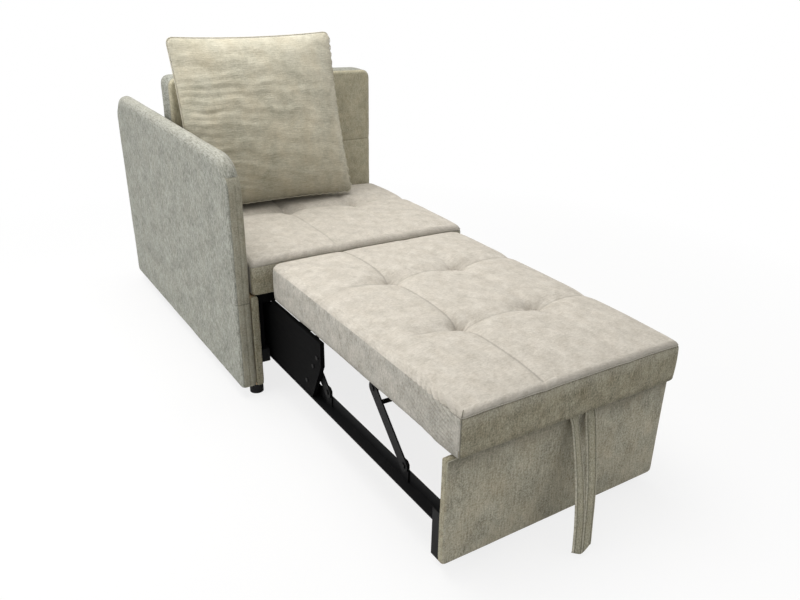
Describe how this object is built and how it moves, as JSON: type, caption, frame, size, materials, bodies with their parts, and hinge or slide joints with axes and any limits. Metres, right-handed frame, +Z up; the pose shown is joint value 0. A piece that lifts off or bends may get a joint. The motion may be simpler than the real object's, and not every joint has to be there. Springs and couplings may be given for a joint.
{
  "type": "chair bed",
  "caption": "Upholstered chair with an arm on one side whose quilted foot section rolls out on rails and is held level with the seat by lifting links.",
  "frame": {"origin": "middle of the whole outline on the floor, in the pictured pose", "axes": "+Z up, the chair faces -Y, its arm is on -X"},
  "size_m": [0.8246, 2.2255, 0.9956],
  "materials": {
    "upholstery": "soft chenille weave with a mottled nap",
    "timber": "raw plywood and pine",
    "black_board": "black painted plywood",
    "webbing": "woven elastic",
    "black_plastic": "matt",
    "zinc_steel": "zinc plated",
    "black_steel": "black powder coat"
  },
  "bodies": {
    "base": {"arm_cover": "upholstery", "arm_board": "timber", "arm_bolts": "zinc_steel", "base_side_left": "timber", "base_side_right": "timber", "base_back": "timber", "side_cover_right": "upholstery", "rear_cover": "upholstery", "front_post_left": "upholstery", "front_post_right": "upholstery", "feet": "black_plastic", "foot_screws": "zinc_steel", "seat_bars": "black_board", "seat_webbing": "webbing", "rear_slats": "timber", "guide_channel_left": "black_steel", "guide_channel_right": "black_steel", "channel_bolts": "zinc_steel", "guide_board_left": "black_board", "guide_board_right": "black_board", "seat_cushion": "upholstery", "back_hinge_left": "black_steel", "back_hinge_right": "black_steel"},
    "backrest": {"back_cushion": "upholstery", "back_frame": "timber"},
    "carriage": {"rail_left": "black_steel", "rail_right": "black_steel", "roller_axles": "zinc_steel", "cross_tube_front": "black_steel", "cross_tube_rear": "black_steel", "rail_tabs": "black_steel", "lower_pins": "black_steel", "carriage_board_left": "black_board", "carriage_board_right": "black_board", "board_bolts": "black_steel", "leg_left": "black_steel", "leg_right": "black_steel", "panel_board": "timber", "panel_cover": "upholstery", "wheel_forks": "black_steel"},
    "front_links": {"front_link_left": "black_steel", "front_link_right": "black_steel", "front_link_rod": "black_steel"},
    "rear_links": {"rear_link_left": "black_steel", "rear_link_right": "black_steel", "rear_link_rod": "black_steel"},
    "deck": {"deck_frame": "black_steel", "deck_board": "timber", "deck_tabs": "black_steel", "upper_pins": "black_steel", "pull_out_cushion": "upholstery"},
    "wheel_left": {"wheel_left": "black_plastic"},
    "wheel_right": {"wheel_right": "black_plastic"},
    "roller_left": {"roller_left": "black_plastic"},
    "roller_right": {"roller_right": "black_plastic"},
    "strap": {"pull_strap": "upholstery"},
    "pillow": {"throw_pillow": "upholstery"}
  },
  "joints": [
    {"name": "carriage_slide", "type": "slide", "parent": "base", "child": "carriage", "axis": [0, -1, 0], "range_m": [0, 0.12]},
    {"name": "deck_lift", "type": "hinge", "parent": "carriage", "child": "front_links", "pos_m": [0.02065, -0.77185, 0.16], "axis": [1, 0, 0], "range_deg": [0, 35]},
    {"name": "rear_link_turn", "type": "hinge", "parent": "carriage", "child": "rear_links", "pos_m": [0.02065, -0.37185, 0.16], "axis": [1, 0, 0], "range_deg": [0, 35]},
    {"name": "deck_level", "type": "hinge", "parent": "front_links", "child": "deck", "pos_m": [0.02065, -0.62412, 0.30068], "axis": [1, 0, 0], "range_deg": [-35, 0]},
    {"name": "wheel_left_roll", "type": "hinge", "parent": "carriage", "child": "wheel_left", "pos_m": [-0.22235, -0.94485, 0.02], "axis": [1, 0, 0], "range_deg": [0, 350]},
    {"name": "wheel_right_roll", "type": "hinge", "parent": "carriage", "child": "wheel_right", "pos_m": [0.26365, -0.94485, 0.02], "axis": [1, 0, 0], "range_deg": [0, 350]},
    {"name": "roller_left_roll", "type": "hinge", "parent": "carriage", "child": "roller_left", "pos_m": [-0.34605, 0.11315, 0.132], "axis": [1, 0, 0], "range_deg": [0, 395]},
    {"name": "roller_right_roll", "type": "hinge", "parent": "carriage", "child": "roller_right", "pos_m": [0.38735, 0.11315, 0.132], "axis": [1, 0, 0], "range_deg": [0, 395]},
    {"name": "back_fold", "type": "hinge", "parent": "base", "child": "backrest", "pos_m": [0.01765, 0.63965, 0.396], "axis": [-1, 0, 0], "range_deg": [0, 90]},
    {"name": "strap_swing", "type": "hinge", "parent": "carriage", "child": "strap", "pos_m": [0.06265, -0.99115, 0.314], "axis": [-1, 0, 0], "range_deg": [0, 30]},
    {"name": "pillow_lift", "type": "slide", "parent": "base", "child": "pillow", "axis": [0, 0, 1], "range_m": [0, 0.35]}
  ],
  "couplings": [
    {"joint": "rear_link_turn", "follows": "deck_lift", "ratio": 1},
    {"joint": "deck_level", "follows": "deck_lift", "ratio": -1},
    {"joint": "wheel_left_roll", "follows": "carriage_slide", "rad_per_m": 50},
    {"joint": "wheel_right_roll", "follows": "carriage_slide", "rad_per_m": 50},
    {"joint": "roller_left_roll", "follows": "carriage_slide", "rad_per_m": 56.497},
    {"joint": "roller_right_roll", "follows": "carriage_slide", "rad_per_m": 56.497}
  ]
}
